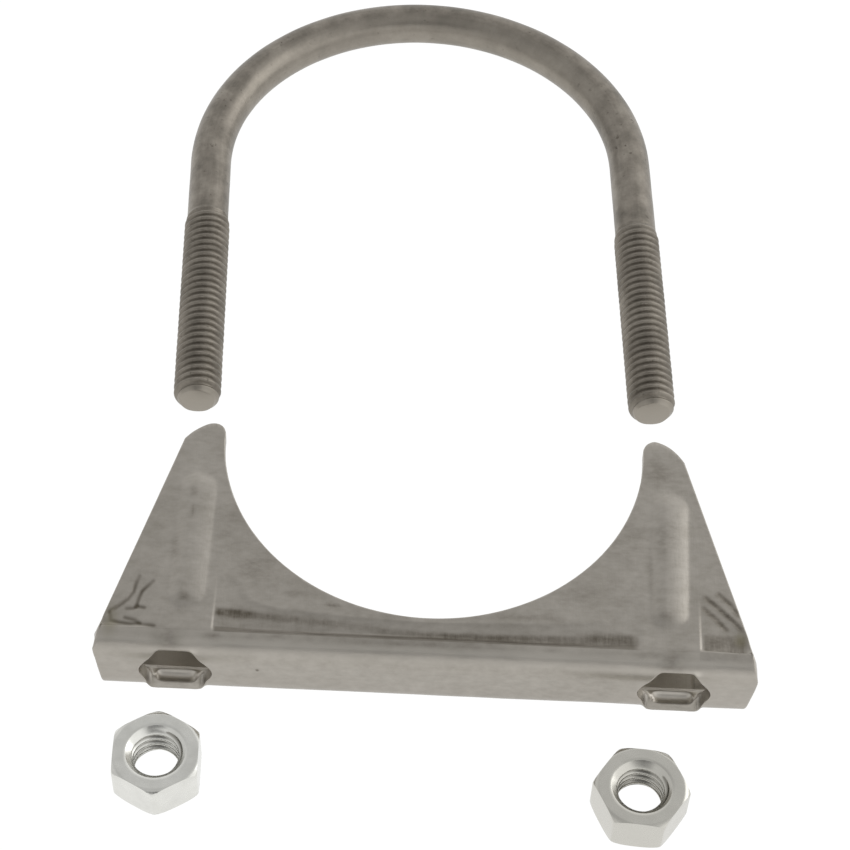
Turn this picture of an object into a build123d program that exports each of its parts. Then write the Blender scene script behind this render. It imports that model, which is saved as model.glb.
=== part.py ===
from build123d import *
from math import asin, cos, degrees, radians, tan
import os

# Pipe and thread that the clamp is made for
pipe_diameter = 66.7
thread_major = 7.9
thread_pitch = 1.411
thread_depth = 0.65

# U-bolt
rod_diameter = 7.2
bow_clearance = 1.95
leg_spacing = pipe_diameter + bow_clearance + rod_diameter
bow_centre_y = 64.1
left_tip_y = 9.8
right_tip_y = 7.6
left_thread_end_y = 50.8
right_thread_end_y = 47.9
tip_chamfer = 0.9

# Sheet saddle: u runs along it from its middle, v from the web towards the pipe
sheet = 2.3
leg_play = 0.4
flange_gap = thread_major + leg_play
saddle_width = flange_gap + 2 * sheet
hole_u = leg_spacing / 2
end_margin = 11.475
half_length = hole_u + end_margin
web_outer_radius = 3.8
web_inner_radius = web_outer_radius - sheet
seat_radius = pipe_diameter / 2
seat_floor_v = 7.35
seat_centre_v = seat_radius + seat_floor_v
horn_rise = 2.3
horn_tip_v = seat_centre_v + horn_rise
horn_tip_width = 1.85
horn_round_width = 4.95
horn_round_rise = 0.75
horn_corner_width = 6.45
horn_corner_drop = 1.3
horn_inner_rise = 1.2
side_foot_v = 3.0
saddle_yaw = 2.78
saddle_x = -0.85
saddle_y = -47.6

# How far a cut runs past the metal that it takes away
overrun = 1.0

# Pressed-in bands beside the legs
pinch_depth = 0.7
crease_v = 3.5
crease_slope = 0.45
pinch_floor = 1.2
channel_inner_u = hole_u - 5.625
channel_outer_u = hole_u + 3.375
pinch_high_v = 12.6
pinch_low_v = 7.2
pinch_blend = 6.0

# Raised ribs in line with the legs
rib_u = hole_u - 1.025
rib_width = 5.3
rib_height = 0.7
rib_low_v = 7.3
rib_high_v = seat_centre_v - 8.2
rib_side_angle = 40

# Leg holes in the web: w is the height from the middle of the sheet's gap
hole_width = 11.1
hole_widest_w = -0.6
hole_top_w = 4.6
hole_top_flat = 4.6
hole_corner_radius = 1.0
lip_v = 0.8
lip_width = 7.2
lip_depth = 4.0
lip_corner_radius = 1.6
lip_edge_radius = 0.4

# Nuts
nut_flats = 12.7
nut_height = 6.75
nut_bore = thread_major - 2 * thread_depth
nut_countersink = 9.2
nut_countersink_angle = 45
nut_corner_angle = 25
hexagon_half_angle = 30
left_nut = (-40.8, -59.5, 29.0)
right_nut = (31.0, -65.25, -7.3)


def u_bolt_path():
    half = leg_spacing / 2
    left = Line((-half, left_tip_y + tip_chamfer), (-half, bow_centre_y))
    bow = CenterArc((0, bow_centre_y), half, 180, -180)
    right = Line((half, bow_centre_y), (half, right_tip_y + tip_chamfer))
    return left + bow + right


def thread_blank(x, tip_y, end_y):
    # the stretch at the thread's outside diameter, its tip chamfered, its other end run out
    radius = thread_major / 2
    run_out = radius - rod_diameter / 2
    half_profile = Polyline(
        (0, tip_y),
        (radius - tip_chamfer, tip_y),
        (radius, tip_y + tip_chamfer),
        (radius, end_y - thread_pitch),
        (radius - run_out, end_y),
        (0, end_y),
        close=True,
    )
    return Pos(x, 0, 0) * revolve(make_face(half_profile), Axis.Y)


def rest_y():
    return left_thread_end_y - thread_pitch


def rest_tilt():
    # the inner end of the thread and the far side of the bow touch the ground
    support = bow_centre_y + leg_spacing / 2 - rest_y()
    return degrees(asin((thread_major - rod_diameter) / 2 / support))


def u_bolt():
    half = leg_spacing / 2
    start = Plane(origin=(-half, left_tip_y + tip_chamfer, 0), z_dir=(0, 1, 0))
    rod = sweep(start * Circle(rod_diameter / 2), path=u_bolt_path())
    ends = [
        thread_blank(-half, left_tip_y, left_thread_end_y),
        thread_blank(half, right_tip_y, right_thread_end_y),
    ]
    solid = rod + ends
    at_pivot = Pos(0, -rest_y(), 0) * solid
    return Pos(0, rest_y(), thread_major / 2) * Rot(-rest_tilt(), 0, 0) * at_pivot


def folded_strip():
    # the U of the folded sheet, run the whole length before its outline is cut
    top_v = horn_tip_v + overrun
    outer = fillet(
        (Pos(top_v / 2, 0) * Rectangle(top_v, saddle_width)).vertices().group_by(Axis.X)[0],
        web_outer_radius,
    )
    inner = fillet(
        (Pos(sheet + top_v / 2, 0) * Rectangle(top_v, flange_gap)).vertices().group_by(Axis.X)[0],
        web_inner_radius,
    )
    return extrude(Plane.YZ * (outer - inner), amount=half_length, both=True)


def saddle_outline():
    horn_inner_u = (seat_radius ** 2 - horn_inner_rise ** 2) ** 0.5
    horn_inner = (horn_inner_u, seat_centre_v + horn_inner_rise)
    horn_inner_angle = degrees(asin(horn_inner_rise / seat_radius))
    horn_tip = (seat_radius + horn_tip_width, horn_tip_v)
    horn_round = (seat_radius + horn_round_width, seat_centre_v + horn_round_rise)
    horn_corner = (seat_radius + horn_corner_width, seat_centre_v - horn_corner_drop)
    right = [
        Line((0, -overrun), (half_length, -overrun)),
        Line((half_length, -overrun), (half_length, side_foot_v)),
        Line((half_length, side_foot_v), horn_corner),
        ThreePointArc(horn_corner, horn_round, horn_tip),
        Line(horn_tip, horn_inner),
        CenterArc((0, seat_centre_v), seat_radius, horn_inner_angle, -90 - horn_inner_angle),
        Line((0, seat_floor_v), (0, -overrun)),
    ]
    half = make_face(right)
    return extrude(half + mirror(half, Plane.YZ), amount=saddle_width, both=True)


def pinch_face(u, high_v, top, floor_w, rim_w, front_v, slope):
    points = [
        (front_v, rim_w),
        (front_v, top),
        (front_v + slope, floor_w),
        (crease_v + pinch_floor, floor_w),
        (high_v, top),
        (high_v, rim_w),
    ]
    return Plane.YZ.offset(u) * make_face(Polyline(*points, close=True))


def pinch_pair(stations):
    # a shallow pocket outside, and the same depth of metal inside
    outside = saddle_width / 2
    inside = flange_gap / 2
    pocket = loft(
        [
            pinch_face(u, v, outside, outside - pinch_depth, outside + overrun,
                       crease_v - crease_slope, crease_slope)
            for u, v in stations
        ],
        ruled=True,
    )
    swell = loft(
        [
            pinch_face(u, v, inside, inside - pinch_depth, inside + pinch_depth / 2,
                       sheet - crease_slope, 0)
            for u, v in stations
        ],
        ruled=True,
    )
    return pocket, swell


def all_pinches():
    inner = [
        (-channel_inner_u, pinch_high_v),
        (-channel_inner_u + pinch_blend, pinch_low_v),
        (channel_inner_u - pinch_blend, pinch_low_v),
        (channel_inner_u, pinch_high_v),
    ]
    right = [(channel_outer_u, pinch_high_v), (half_length + overrun, pinch_low_v)]
    left = [(-u, v) for u, v in reversed(right)]
    pockets, swells = [], []
    for stations in (left, inner, right):
        pocket, swell = pinch_pair(stations)
        pockets += [pocket, mirror(pocket, Plane.XY)]
        swells += [swell, mirror(swell, Plane.XY)]
    return pockets, swells


def rib_pad(width, base_w):
    length = rib_high_v - rib_low_v - (rib_width - width)
    slot = Rot(0, 0, 90) * SlotOverall(length, width)
    at = Pos(0, (rib_low_v + rib_high_v) / 2, base_w)
    return at * extrude(slot, amount=rib_height, taper=rib_side_angle)


def ribs():
    # each rib stands out of the flange, and the same groove is pressed in behind it
    draft = rib_height * tan(radians(rib_side_angle))
    pad = rib_pad(rib_width, saddle_width / 2)
    groove = rib_pad(rib_width - draft, flange_gap / 2)
    pads, grooves = [], []
    for u in (-rib_u, rib_u):
        pads += [Pos(u, 0, 0) * pad, Pos(u, 0, 0) * mirror(pad, Plane.XY)]
        grooves += [Pos(u, 0, 0) * groove, Pos(u, 0, 0) * mirror(groove, Plane.XY)]
    return pads, grooves


def leg_hole():
    # six-sided opening through the web, from the upper bend down to the lip
    points = [
        (-hole_width / 2, hole_widest_w),
        (-hole_top_flat / 2, hole_top_w),
        (hole_top_flat / 2, hole_top_w),
        (hole_width / 2, hole_widest_w),
        (lip_width / 2, -flange_gap / 2),
        (-lip_width / 2, -flange_gap / 2),
    ]
    face = make_face(Polyline(*points, close=True))
    face = fillet(face.vertices(), hole_corner_radius)
    return extrude(Plane.XZ * face, amount=sheet + web_inner_radius, both=True)


def hole_lip():
    # the lower flange runs straight on to the hole's edge instead of round the bend
    lip = Pos(0, lip_v + lip_depth / 2, -(flange_gap + sheet) / 2) * Box(lip_width, lip_depth, sheet)
    lip = fillet(lip.edges().filter_by(Axis.Z).group_by(Axis.Y)[0], lip_corner_radius)
    return fillet(lip.edges().group_by(Axis.Z)[0].group_by(Axis.Y)[0], lip_edge_radius)


def saddle():
    pockets, swells = all_pinches()
    pads, grooves = ribs()
    body = folded_strip() - pockets + swells
    for u in (-hole_u, hole_u):
        body += Pos(u, 0, 0) * hole_lip()
    body = (body & saddle_outline()) + pads - grooves
    for u in (-hole_u, hole_u):
        body -= Pos(u, 0, 0) * leg_hole()
    rest_height = saddle_width / 2 + rib_height
    return Pos(saddle_x, saddle_y, rest_height) * Rot(0, 0, -saddle_yaw) * body


def hex_nut(x, y, turn):
    corners = nut_flats / cos(radians(hexagon_half_angle))
    blank = extrude(RegularPolygon(nut_flats / 2, 6, major_radius=False), amount=nut_height)
    reach = corners / 2 + overrun
    drop = (reach - nut_flats / 2) * tan(radians(nut_corner_angle))
    turned = make_face(Polyline(
        (0, 0),
        (nut_flats / 2, 0),
        (reach, drop),
        (reach, nut_height - drop),
        (nut_flats / 2, nut_height),
        (0, nut_height),
        close=True,
    ))
    cone = revolve(Plane.XZ * turned, Axis.Z)
    sink = (nut_countersink - nut_bore) / 2 / tan(radians(nut_countersink_angle))
    bore = make_face(Polyline(
        (0, -overrun),
        (nut_countersink / 2 + overrun, -overrun),
        (nut_countersink / 2, 0),
        (nut_bore / 2, sink),
        (nut_bore / 2, nut_height - sink),
        (nut_countersink / 2, nut_height),
        (nut_countersink / 2 + overrun, nut_height + overrun),
        (0, nut_height + overrun),
        close=True,
    ))
    body = (blank & cone) - revolve(Plane.XZ * bore, Axis.Z)
    return Pos(x, y, 0) * Rot(0, 0, turn) * body


os.makedirs("parts", exist_ok=True)
pieces = {
    "u_bolt": u_bolt(),
    "saddle": saddle(),
    "left_nut": hex_nut(*left_nut),
    "right_nut": hex_nut(*right_nut),
}
box = (Part() + list(pieces.values())).bounding_box()
shift = Pos(-(box.min.X + box.max.X) / 2, -(box.min.Y + box.max.Y) / 2, -box.min.Z)
for name, piece in pieces.items():
    export_step(shift * piece, f"parts/{name}.step")
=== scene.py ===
import math

import bmesh
import bpy
import numpy as np
from mathutils import Matrix, Vector


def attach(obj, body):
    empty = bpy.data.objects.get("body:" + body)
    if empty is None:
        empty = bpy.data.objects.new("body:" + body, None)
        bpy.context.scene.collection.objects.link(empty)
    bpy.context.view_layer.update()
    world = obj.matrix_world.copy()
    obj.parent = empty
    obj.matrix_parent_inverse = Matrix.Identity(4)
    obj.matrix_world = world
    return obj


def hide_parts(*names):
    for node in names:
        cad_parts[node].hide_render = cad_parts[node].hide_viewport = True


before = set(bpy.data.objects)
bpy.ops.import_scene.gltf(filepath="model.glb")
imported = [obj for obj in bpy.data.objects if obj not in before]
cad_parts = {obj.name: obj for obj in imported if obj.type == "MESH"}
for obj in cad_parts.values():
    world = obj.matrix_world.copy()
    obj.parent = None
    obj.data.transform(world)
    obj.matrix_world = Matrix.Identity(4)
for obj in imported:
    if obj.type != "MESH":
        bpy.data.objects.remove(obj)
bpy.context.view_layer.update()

# Sizes of the clamp, in millimetres, in the CAD's frame
# the shift puts the middle of the whole set at the origin
SHIFT_X, SHIFT_Y = 0.7772, -16.8047
PIPE_RADIUS = 33.35

# U-bolt
# its thread's outside radius, pitch and height, and the bare rod's radius
MAJOR, PITCH, THREAD_DEPTH = 3.95, 1.411, 0.66
ROD = 3.6
# radius of the bow's centre line, and where its centre lies along the legs
BEND, BEND_Y = 37.925, 64.1
# the tip of each leg, and the inner end of its thread
LEFT_TIP, LEFT_INNER = 8.85, 50.8
RIGHT_TIP, RIGHT_INNER = 6.7, 47.9
# it rests on its threads and on its thinner bow
TILT = math.radians(0.381)

# Saddle: u runs along it from its middle, v from the web towards the pipe, w up from its middle plane
SHEET, HALF_LENGTH, HALF_WIDTH = 2.3, 49.4, 6.45
FOLD_OUT = 3.8
SEAT_V = 40.7
YAW = math.radians(2.78)
SADDLE_X, SADDLE_Y, SADDLE_Z = -0.85 + SHIFT_X, -47.6 + SHIFT_Y, 7.15
# its leg holes: place along u, half their width, and the height at which they are widest
HOLE_U, HOLE_HALF, HOLE_MID = 37.925, 5.55, -0.6

# Nuts: distance across flats, height, and for each nut its place and its turn in degrees
FLATS, NUT_HEIGHT = 12.7, 6.75
NUTS = {"left": (-40.8, -59.5, 29.0), "right": (31.0, -65.25, -7.3)}


# Small numpy helpers

def smooth(low, high, value):
    """0 below low, 1 above high, and a cubic ease between them."""
    t = np.clip((value - low) / (high - low), 0, 1)
    return t * t * (3 - 2 * t)


def ease_off(low, high, value):
    """1 below low, 0 above high, and a cubic ease between them."""
    return 1 - smooth(low, high, value)


def between(rise, fall, value):
    """1 in the middle, easing up over the stretch rise and down over the stretch fall, each (start, end)."""
    return smooth(*rise, value) * ease_off(*fall, value)


def soft_min(a, b, k):
    """The lower of a and b, with a rounded corner about k wide where they cross."""
    return -k * np.logaddexp(-a / k, -b / k)


def steps(*stops):
    """Numbers from stop to stop: each stop is (value, spacing up to the next one)."""
    parts = [
        np.linspace(a, b, max(2, int(round(abs(b - a) / gap)) + 1))[:-1]
        for (a, gap), (b, _) in zip(stops, stops[1:])
    ]
    return np.concatenate([*parts, [stops[-1][0]]])


def waves(x, y, size, seed):
    """A gentle unevenness from -1 to 1: the mean of eight sine waves in different directions, about size mm
    long, each sin(full turn * distance along its direction / its length + its phase)."""
    count = 8
    rng = np.random.default_rng(seed)
    turns = rng.uniform(0, math.pi, count)
    stretches = rng.uniform(0.7, 1.5, count)
    phases = rng.uniform(0, 6.3, count)
    total = np.zeros(np.broadcast(x, y).shape)
    for turn, stretch, phase in zip(turns, stretches, phases):
        k = 2 * math.pi / (size * stretch)
        total += np.sin(k * (x * math.cos(turn) + y * math.sin(turn)) + phase)
    return total / count


def stroke(u, v, points, width):
    """1 on a line through the points, falling to 0 over its width either side."""
    best = np.full(np.shape(u), 1e9)
    for (au, av), (bu, bv) in zip(points, points[1:]):
        du, dv = bu - au, bv - av
        t = np.clip(((u - au) * du + (v - av) * dv) / (du * du + dv * dv), 0, 1)
        best = np.minimum(best, np.hypot(u - au - t * du, v - av - t * dv))
    return ease_off(0, width, best)


def spot(u, v, cu, cv, ru, rv):
    """1 at the middle of an oval patch, easing to 0 at its rim."""
    return ease_off(0, 1, np.hypot((u - cu) / ru, (v - cv) / rv))


def rounded(at, knots, values):
    """A smooth line through values at knots: cubic pieces, whose slope at each knot is the mean of the
    slopes on both sides of it."""
    slope = np.diff(values) / np.diff(knots)
    tangent = np.r_[slope[0], (slope[1:] + slope[:-1]) / 2, slope[-1]]
    k = np.clip(np.searchsorted(knots, at, "right") - 1, 0, len(knots) - 2)
    gap = knots[k + 1] - knots[k]
    t = (at - knots[k]) / gap
    return ((1 + 2 * t) * (1 - t) ** 2 * values[k] + t * (1 - t) ** 2 * gap * tangent[k]
            + t * t * (3 - 2 * t) * values[k + 1] + t * t * (t - 1) * gap * tangent[k + 1])


def thread(phase):
    """Height of a rolled thread from 0 at the root to 1 at the crest, over one turn of its phase: level for a
    little way about the crest, then down a flank that is part straight and part a cubic ease."""
    crest_half, flank, straight = 0.10, 0.31, 0.45
    away = np.abs(phase - np.round(phase))
    t = np.clip((away - crest_half) / flank, 0, 1)
    return 1 - (straight * t + (1 - straight) * t * t * (3 - 2 * t))


# Meshes

def grid_faces(rows, cols, start, closed):
    """Four-sided faces over a grid of points; closed joins the last column to the first."""
    i, j = np.meshgrid(np.arange(rows - 1), np.arange(cols if closed else cols - 1), indexing="ij")
    k = (j + 1) % cols
    corners = np.stack([i * cols + j, i * cols + k, (i + 1) * cols + k, (i + 1) * cols + j], -1)
    return corners.reshape(-1, 4) + start


def make_piece(name, patches, node, finish, sharp):
    """Joins grids into one closed mesh, with its edges sharp above an angle in degrees. Each patch is
    (points in mm, closed, {mark: values at its points})."""
    faces, start = [], 0
    for points, closed, _ in patches:
        rows, cols = points.shape[:2]
        faces.append(grid_faces(rows, cols, start, closed))
        start += rows * cols
    mesh = bpy.data.meshes.new(name)
    every = np.concatenate([points.reshape(-1, 3) for points, _, _ in patches]) / 1000
    mesh.from_pydata(every.tolist(), [], np.concatenate(faces).tolist())
    for mark, first in patches[0][2].items():
        vector = first.ndim == 3
        values = np.concatenate([marks[mark].reshape(-1, 3 if vector else 1) for _, _, marks in patches])
        kind = "FLOAT_VECTOR" if vector else "FLOAT"
        attribute = mesh.attributes.new(mark, kind, "POINT")
        attribute.data.foreach_set("vector" if vector else "value", values.astype(np.float32).ravel())
    # grids that meet share their points along the seam
    seam = 1.5e-6
    shell = bmesh.new()
    shell.from_mesh(mesh)
    bmesh.ops.remove_doubles(shell, verts=shell.verts, dist=seam)
    bmesh.ops.recalc_face_normals(shell, faces=shell.faces)
    shell.to_mesh(mesh)
    shell.free()
    mesh.shade_smooth()
    mesh.set_sharp_from_angle(angle=math.radians(sharp))
    mesh.materials.append(finish)
    piece = bpy.data.objects.new(name, mesh)
    bpy.context.scene.collection.objects.link(piece)
    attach(piece, "root")
    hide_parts(node)
    return piece


# Materials

def shade(code):
    """An sRGB hex colour as linear RGBA."""
    parts = [int(code[i:i + 2], 16) / 255 for i in (1, 3, 5)]
    return [p / 12.92 if p <= 0.04045 else ((p + 0.055) / 1.055) ** 2.4 for p in parts] + [1.0]


def add(tree, kind, sockets=None, stops=(), **settings):
    """Adds a node, sets its properties, and sets or links its inputs by name or number. Stops are the places
    and tones of a colour ramp, each tone a hex colour or a grey level. A mix blends its inputs 2 and 3 where
    they are numbers, and its inputs 6 and 7 where they are colours."""
    node = tree.nodes.new(kind)
    for key, value in settings.items():
        setattr(node, key, value)
    for place, tone in stops[2:]:
        node.color_ramp.elements.new(place)
    for k, (place, tone) in enumerate(stops):
        node.color_ramp.elements[k].position = place
        node.color_ramp.elements[k].color = shade(tone) if isinstance(tone, str) else (tone, tone, tone, 1.0)
    for key, value in (sockets or {}).items():
        if isinstance(value, bpy.types.NodeSocket):
            tree.links.new(value, node.inputs[key])
        else:
            node.inputs[key].default_value = value
    return node


def new_material(name):
    """A material with an empty node tree, and that tree."""
    material = bpy.data.materials.new(name)
    material.use_nodes = True
    tree = material.node_tree
    tree.nodes.clear()
    return material, tree


def per_mm(size):
    """Noise scale, per metre, for a pattern of this size in millimetres."""
    return 1000.0 / size


def sheet_steel():
    """Bare low-carbon steel sheet, pressed and folded: satin grey with a cloudy, mottled oily film, brighter
    on the outside of the fold with painted highlight and a little rubbing, darker with painted shade over the
    holes, inside the sheet and along its creases, and scored dark by the die where the press pinched it."""
    # the bright tone is for rubbed metal and painted highlight, the line tone for painted shade along the
    # creases
    bright_wear_and_highlight, line_shade, olive_stain = shade("#c6c1b8"), shade("#5f594f"), shade("#827c62")
    material, tree = new_material("pressed sheet steel")
    lay = add(tree, "ShaderNodeAttribute", attribute_name="lay").outputs["Vector"]
    dirt_and_shade, wear_and_highlight, olive, scored, line = [
        add(tree, "ShaderNodeAttribute", attribute_name=mark).outputs["Fac"]
        for mark in ("dirt_and_shade", "wear_and_highlight", "olive", "scored", "line")
    ]
    # cloudy film of oil, patches about 9 mm wide
    cloud = add(tree, "ShaderNodeTexNoise",
                {"Vector": lay, "Scale": per_mm(9), "Detail": 8.0, "Roughness": 0.68})
    # mottled skin, flecks about 1.2 mm wide, a little longer along the sheet as it was rolled
    fleck_at = add(tree, "ShaderNodeMapping", {"Vector": lay, "Scale": (0.6, 1.0, 1.0)})
    fleck = add(tree, "ShaderNodeTexNoise",
                {"Vector": fleck_at.outputs[0], "Scale": per_mm(1.2), "Detail": 5.0, "Roughness": 0.65})
    # rolling lines along the sheet, about 0.5 mm apart
    grain_at = add(tree, "ShaderNodeMapping", {"Vector": lay, "Scale": (0.1, 1.0, 1.0)})
    grain = add(tree, "ShaderNodeTexNoise",
                {"Vector": grain_at.outputs[0], "Scale": per_mm(0.5), "Detail": 3.0})
    # die scratches across the pinched band, about 0.5 mm apart
    drag_at = add(tree, "ShaderNodeMapping", {"Vector": lay, "Scale": (1.0, 0.12, 0.3)})
    drag = add(tree, "ShaderNodeTexNoise",
               {"Vector": drag_at.outputs[0], "Scale": per_mm(0.5), "Detail": 4.0, "Roughness": 0.7})
    # clean sheet, with its flecks and rolling lines, and brighter where it is rubbed or painted with
    # highlight
    clean = add(tree, "ShaderNodeValToRGB", {"Fac": cloud.outputs["Fac"]},
                stops=[(0.30, "#948f86"), (0.5, "#a39e96"), (0.70, "#afaaa2")])
    flecked = add(tree, "ShaderNodeValToRGB", {"Fac": fleck.outputs["Fac"]},
                  stops=[(0.3, "#8d887f"), (0.5, "#a39e96"), (0.7, "#b3aea6")])
    mottled = add(tree, "ShaderNodeMix", {"Factor": 0.4, 6: clean.outputs[0], 7: flecked.outputs[0]},
                  data_type="RGBA")
    lines = add(tree, "ShaderNodeValToRGB", {"Fac": grain.outputs["Fac"]},
                stops=[(0.3, "#96918a"), (0.7, "#b0aba3")])
    grained = add(tree, "ShaderNodeMix", {"Factor": 0.1, 6: mottled.outputs[2], 7: lines.outputs[0]},
                  data_type="RGBA")
    brightened = add(tree, "ShaderNodeMix", {"Factor": wear_and_highlight, 6: grained.outputs[2], 7: bright_wear_and_highlight},
                 data_type="RGBA")
    # dark film of dirt and painted shade over it, patchy with the flecks, or with the scratches where the
    # sheet is scored
    mixed = add(tree, "ShaderNodeMath", {0: scored, 1: 0.5}, operation="MULTIPLY")
    streak = add(tree, "ShaderNodeMix",
                 {"Factor": mixed.outputs[0], 2: fleck.outputs["Fac"], 3: drag.outputs["Fac"]})
    film = add(tree, "ShaderNodeValToRGB", {"Fac": streak.outputs[0]},
               stops=[(0.32, "#5a544a"), (0.52, "#6d675d"), (0.7, "#7f796f")])
    patchy = add(tree, "ShaderNodeMapRange", {"Value": streak.outputs[0], "From Min": 0.62, "From Max": 0.36,
                                              "To Min": 0.78, "To Max": 1.12})
    reach = add(tree, "ShaderNodeMath", {0: dirt_and_shade, 1: patchy.outputs[0]},
                operation="MULTIPLY", use_clamp=True)
    darkened = add(tree, "ShaderNodeMix", {"Factor": reach.outputs[0], 6: brightened.outputs[2], 7: film.outputs[0]},
                data_type="RGBA")
    # painted shade along the die's crease and its wrinkles, and a dark pit, in one dark tone
    lined = add(tree, "ShaderNodeMix", {"Factor": line, 6: darkened.outputs[2], 7: line_shade}, data_type="RGBA")
    stained = add(tree, "ShaderNodeMix", {"Factor": olive, 6: lined.outputs[2], 7: olive_stain},
                  data_type="RGBA")
    # satin skin, a little uneven with the film, and dull under the dirt and the painted shade
    gloss = add(tree, "ShaderNodeMapRange", {"Value": cloud.outputs["Fac"], "From Min": 0.3, "From Max": 0.7,
                                             "To Min": 0.34, "To Max": 0.42})
    matt = add(tree, "ShaderNodeMix", {"Factor": reach.outputs[0], 2: gloss.outputs[0], 3: 0.55})
    height = add(tree, "ShaderNodeMath", {0: fleck.outputs["Fac"], 1: drag.outputs["Fac"]}, operation="ADD")
    bump = add(tree, "ShaderNodeBump", {"Strength": 0.3, "Distance": 0.00007, "Height": height.outputs[0]})
    steel = add(tree, "ShaderNodeBsdfPrincipled", {"Base Color": stained.outputs[2], "Metallic": 1.0,
                                                   "Roughness": matt.outputs[0], "Normal": bump.outputs[0]})
    add(tree, "ShaderNodeOutputMaterial", {"Surface": steel.outputs[0]})
    return material


def rod_steel():
    """Hot-rolled steel rod, drawn and thread-rolled: dull grey-brown, with painted shade between the threads.
    """
    pit_dark, root_dark, cut_bare = shade("#4a443c"), shade("#726c63"), shade("#9c968c")
    material, tree = new_material("rolled steel rod")
    lay = add(tree, "ShaderNodeAttribute", attribute_name="lay").outputs["Vector"]
    root = add(tree, "ShaderNodeAttribute", attribute_name="root").outputs["Fac"]
    cut = add(tree, "ShaderNodeAttribute", attribute_name="cut").outputs["Fac"]
    # drawing lines along the rod, about 0.6 mm apart
    draw_at = add(tree, "ShaderNodeMapping", {"Vector": lay, "Scale": (1.0, 1.0, 0.05)})
    draw = add(tree, "ShaderNodeTexNoise",
               {"Vector": draw_at.outputs[0], "Scale": per_mm(0.6), "Detail": 4.0, "Roughness": 0.65})
    # cloudy scale, patches about 5 mm wide, and pits in it about 1.1 mm wide
    cloud = add(tree, "ShaderNodeTexNoise",
                {"Vector": lay, "Scale": per_mm(5), "Detail": 6.0, "Roughness": 0.68})
    speck = add(tree, "ShaderNodeTexNoise",
                {"Vector": lay, "Scale": per_mm(1.1), "Detail": 4.0, "Roughness": 0.6})
    base = add(tree, "ShaderNodeValToRGB", {"Fac": cloud.outputs["Fac"]},
               stops=[(0.32, "#67635b"), (0.5, "#857f76"), (0.68, "#9c968c")])
    lines = add(tree, "ShaderNodeValToRGB", {"Fac": draw.outputs["Fac"]},
                stops=[(0.3, "#6c665d"), (0.7, "#9b958c")])
    lined = add(tree, "ShaderNodeMix", {"Factor": 0.2, 6: base.outputs[0], 7: lines.outputs[0]},
                data_type="RGBA")
    pits = add(tree, "ShaderNodeMapRange", {"Value": speck.outputs["Fac"], "From Min": 0.26, "From Max": 0.37,
                                            "To Min": 0.8, "To Max": 0.0})
    pitted = add(tree, "ShaderNodeMix", {"Factor": pits.outputs[0], 6: lined.outputs[2], 7: pit_dark},
                 data_type="RGBA")
    # painted shade in the thread, deepest at its root
    rooted = add(tree, "ShaderNodeMix", {"Factor": root, 6: pitted.outputs[2], 7: root_dark},
                 data_type="RGBA")
    ended = add(tree, "ShaderNodeMix", {"Factor": cut, 6: rooted.outputs[2], 7: cut_bare}, data_type="RGBA")
    bump = add(tree, "ShaderNodeBump", {"Strength": 0.4, "Distance": 0.00008, "Height": speck.outputs["Fac"]})
    steel = add(tree, "ShaderNodeBsdfPrincipled", {"Base Color": ended.outputs[2], "Metallic": 1.0,
                                                   "Roughness": 0.4, "Normal": bump.outputs[0]})
    add(tree, "ShaderNodeOutputMaterial", {"Surface": steel.outputs[0]})
    return material


def zinc_plate():
    """Bright zinc electroplate on a cold-formed steel nut: pale silver, fairly sharp reflections, duller on
    one of the nuts, and with painted shade in the thread's valleys."""
    dull_zinc, valley_shade_tone = shade("#bdbab1"), shade("#7d7a72")
    material, tree = new_material("bright zinc plate")
    place = add(tree, "ShaderNodeTexCoord").outputs["Object"]
    # cloudy plating, patches about 3 mm wide, over a fine tumbled skin
    cloud = add(tree, "ShaderNodeTexNoise",
                {"Vector": place, "Scale": per_mm(3), "Detail": 5.0, "Roughness": 0.6})
    fine = add(tree, "ShaderNodeTexNoise", {"Vector": place, "Scale": per_mm(0.5), "Detail": 3.0})
    tone = add(tree, "ShaderNodeValToRGB", {"Fac": cloud.outputs["Fac"]},
               stops=[(0.3, "#d8d8d3"), (0.7, "#e8e8e3")])
    gloss = add(tree, "ShaderNodeMapRange", {"Value": cloud.outputs["Fac"], "From Min": 0.3, "From Max": 0.7,
                                             "To Min": 0.2, "To Max": 0.3})
    bump = add(tree, "ShaderNodeBump", {"Strength": 0.12, "Distance": 0.00005, "Height": fine.outputs["Fac"]})
    dull = add(tree, "ShaderNodeAttribute", attribute_name="dull").outputs["Fac"]
    toned = add(tree, "ShaderNodeMix", {"Factor": dull, 6: tone.outputs[0], 7: dull_zinc}, data_type="RGBA")
    root = add(tree, "ShaderNodeAttribute", attribute_name="root").outputs["Fac"]
    # painted shade in the thread's valleys
    valley_shaded = add(tree, "ShaderNodeMix", {"Factor": root, 6: toned.outputs[2], 7: valley_shade_tone}, data_type="RGBA")
    zinc = add(tree, "ShaderNodeBsdfPrincipled", {"Base Color": valley_shaded.outputs[2], "Metallic": 1.0,
                                                  "Roughness": gloss.outputs[0], "Normal": bump.outputs[0]})
    add(tree, "ShaderNodeOutputMaterial", {"Surface": zinc.outputs[0]})
    return material


# U-bolt

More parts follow.
